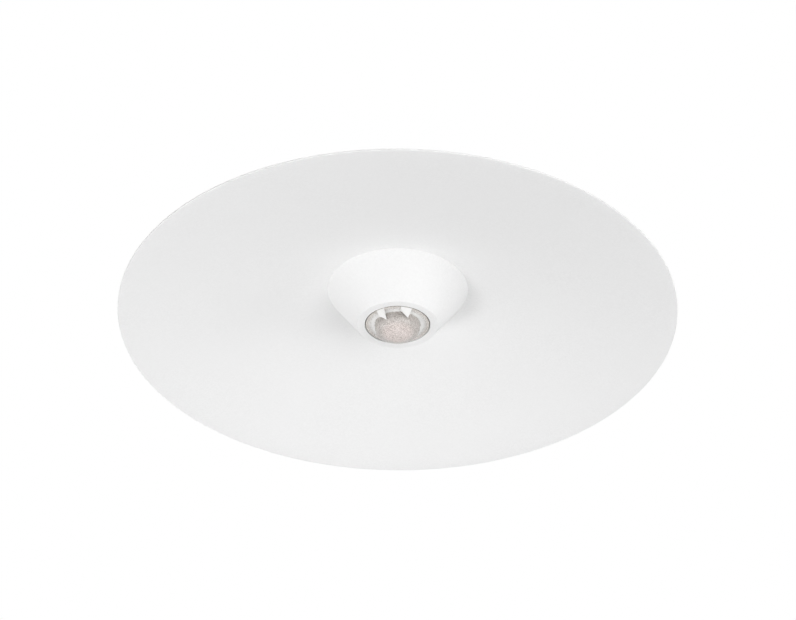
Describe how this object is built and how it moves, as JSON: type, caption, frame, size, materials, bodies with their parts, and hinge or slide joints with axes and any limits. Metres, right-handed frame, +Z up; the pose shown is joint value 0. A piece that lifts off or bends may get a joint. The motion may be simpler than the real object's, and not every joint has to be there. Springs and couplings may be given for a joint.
{
  "type": "magnetic track spotlight",
  "caption": "White ceiling spotlight: a shallow dish shade round a short cone nose with a frosted domed lens, on a swivelling, tilting magnetic track adapter.",
  "frame": {"origin": "middle of the track adapter's top face, in the plane of the magnets' pole faces, which rest on the track's steel strip", "axes": "+Z up, out of the magnet face and towards the track; +X along the track and the adapter's length; the lamp hangs towards -Z; the lens ring's gap and lugs face -Y"},
  "size_m": [0.3, 0.3, 0.0941],
  "materials": {
    "white_coat": "fine matte white powder coat on aluminium",
    "white_nylon": "matte white nylon",
    "white_shell": "matte white moulded polycarbonate",
    "black_insulator": "matte black insulating plastic",
    "magnet_nickel": "bright nickel plate on sintered magnet",
    "zinc_steel": "zinc-plated steel",
    "spring_steel": "bare spring steel wire",
    "contact_brass": "gold-flashed brass",
    "board_green": "green solder mask on glass-fibre board",
    "ferrite_copper": "ferrite drum with varnished winding",
    "capacitor_sleeve": "dark sleeved can",
    "chip_black": "black moulded package",
    "lead_sheath": "white silicone sheath",
    "heat_sink_coat": "matte white powder coat on die-cast aluminium",
    "thermal_grey": "grey thermal pad",
    "board_white": "white solder mask on aluminium board",
    "emitter_ceramic": "white ceramic carrier",
    "phosphor": "amber phosphor gel",
    "reflector_white": "glossy white moulded plastic",
    "gasket_silicone": "translucent silicone rubber",
    "lens_frosted": "frosted translucent moulded lens with a fine stipple"
  },
  "bodies": {
    "track_adapter": {"adapter_housing": "white_shell", "adapter_cover": "black_insulator", "cover_screws": "zinc_steel", "track_magnet_left": "magnet_nickel", "track_magnet_right": "magnet_nickel", "magnet_yoke_left": "zinc_steel", "magnet_yoke_right": "zinc_steel", "driver_board": "board_green", "board_screws": "zinc_steel", "driver_inductor": "ferrite_copper", "driver_capacitors": "capacitor_sleeve", "driver_chips": "chip_black", "contact_block": "black_insulator", "contact_pads": "contact_brass", "contact_spring_positive": "spring_steel", "contact_spring_negative": "spring_steel", "swivel_washer": "white_nylon", "inner_washer": "white_nylon", "upper_lead": "lead_sheath"},
    "contact_positive": {"contact_pin_positive": "contact_brass"},
    "contact_negative": {"contact_pin_negative": "contact_brass"},
    "track_lock_left": {"lock_lever_left": "white_nylon", "lock_cam_left": "zinc_steel", "lock_washer_left": "white_nylon", "lock_spring_left": "spring_steel", "lock_screw_left": "zinc_steel"},
    "track_lock_right": {"lock_lever_right": "white_nylon", "lock_cam_right": "zinc_steel", "lock_washer_right": "white_nylon", "lock_spring_right": "spring_steel", "lock_screw_right": "zinc_steel"},
    "swivel": {"swivel_fork": "white_coat", "swivel_stem": "zinc_steel", "stop_washer": "zinc_steel", "spring_washer": "spring_steel", "swivel_nut": "zinc_steel", "tilt_screw_left": "zinc_steel", "tilt_screw_right": "zinc_steel", "tilt_washer_left": "white_nylon", "tilt_washer_right": "white_nylon"},
    "lamp_head": {"tilt_bracket": "white_coat", "bracket_screws": "zinc_steel", "heat_sink": "heat_sink_coat", "dish": "white_coat", "dish_screws": "zinc_steel", "nose_cone": "white_coat", "lens_gasket": "gasket_silicone", "lens": "lens_frosted", "lens_snap_ring": "white_nylon", "thermal_pad": "thermal_grey", "light_board": "board_white", "light_emitter": "emitter_ceramic", "phosphor_disc": "phosphor", "light_holder": "reflector_white", "light_screws": "zinc_steel", "reflector": "reflector_white", "lower_lead": "lead_sheath"}
  },
  "joints": [
    {"name": "swivel_turn", "type": "hinge", "parent": "track_adapter", "child": "swivel", "pos_m": [0, 0, -0.021], "axis": [0, 0, 1], "range_deg": [-165, 165]},
    {"name": "head_tilt", "type": "hinge", "parent": "swivel", "child": "lamp_head", "pos_m": [0, 0, -0.036], "axis": [1, 0, 0], "range_deg": [-20, 20]},
    {"name": "contact_positive_press", "type": "slide", "parent": "track_adapter", "child": "contact_positive", "axis": [0, 0, -1], "range_m": [0, 0.0018], "stiffness_N_per_m": 300, "springref_m": -0.001, "deforming": ["contact_spring_positive"]},
    {"name": "contact_negative_press", "type": "slide", "parent": "track_adapter", "child": "contact_negative", "axis": [0, 0, -1], "range_m": [0, 0.0018], "stiffness_N_per_m": 300, "springref_m": -0.001, "deforming": ["contact_spring_negative"]},
    {"name": "lock_left_turn", "type": "hinge", "parent": "track_adapter", "child": "track_lock_left", "pos_m": [-0.044, 0, -0.02], "axis": [0, 0, 1], "range_deg": [0, 90]},
    {"name": "lock_right_turn", "type": "hinge", "parent": "track_adapter", "child": "track_lock_right", "pos_m": [0.044, 0, -0.02], "axis": [0, 0, 1], "range_deg": [0, 90]}
  ]
}
